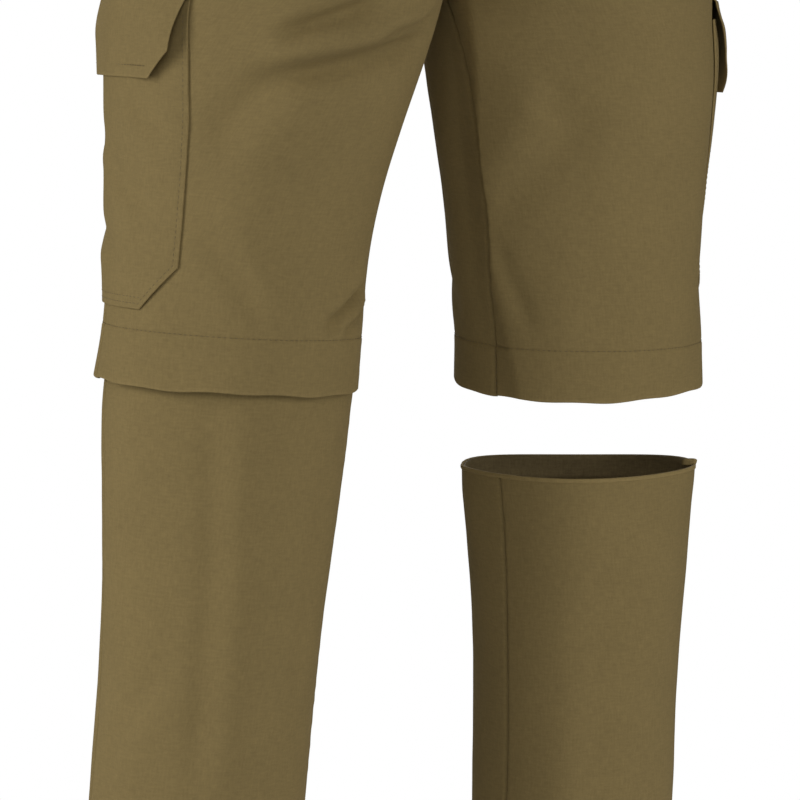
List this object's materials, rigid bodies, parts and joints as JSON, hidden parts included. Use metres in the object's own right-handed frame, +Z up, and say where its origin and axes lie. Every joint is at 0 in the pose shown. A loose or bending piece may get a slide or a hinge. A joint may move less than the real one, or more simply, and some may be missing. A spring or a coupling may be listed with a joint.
{
  "type": "convertible zip-off trousers",
  "caption": "Hollow cargo trousers filled out with no wearer: one lower leg zipped on under its hem band, the other unzipped and hung apart below its short leg.",
  "frame": {"origin": "middle of the waist opening at half the height of the waistband, where a wearer holds the trousers up", "axes": "+Z up out of the waist, -Y the front, -X the wearer's right leg"},
  "size_m": [0.4452, 0.2572, 1.123],
  "materials": {
    "cloth": "matte plain-weave cotton canvas, olive tan",
    "zip": "woven zip tape with a plastic coil",
    "button": "satin brown plastic"
  },
  "bodies": {
    "root": {"front_right": "cloth", "front_left": "cloth", "back_right": "cloth", "back_left": "cloth", "lower_front_right": "cloth", "lower_back_right": "cloth", "lower_front_left": "cloth", "lower_back_left": "cloth", "waistband": "cloth", "fly_shield": "cloth", "cargo_pocket_right": "cloth", "cargo_pocket_left": "cloth", "cargo_flap_right": "cloth", "cargo_flap_left": "cloth", "zip_tape_upper_right": "zip", "zip_tape_upper_left": "zip", "zip_tape_lower_right": "zip", "zip_tape_lower_left": "zip", "zip_rim_right": "zip", "zip_rim_left": "zip", "waist_button": "button"}
  },
  "joints": []
}
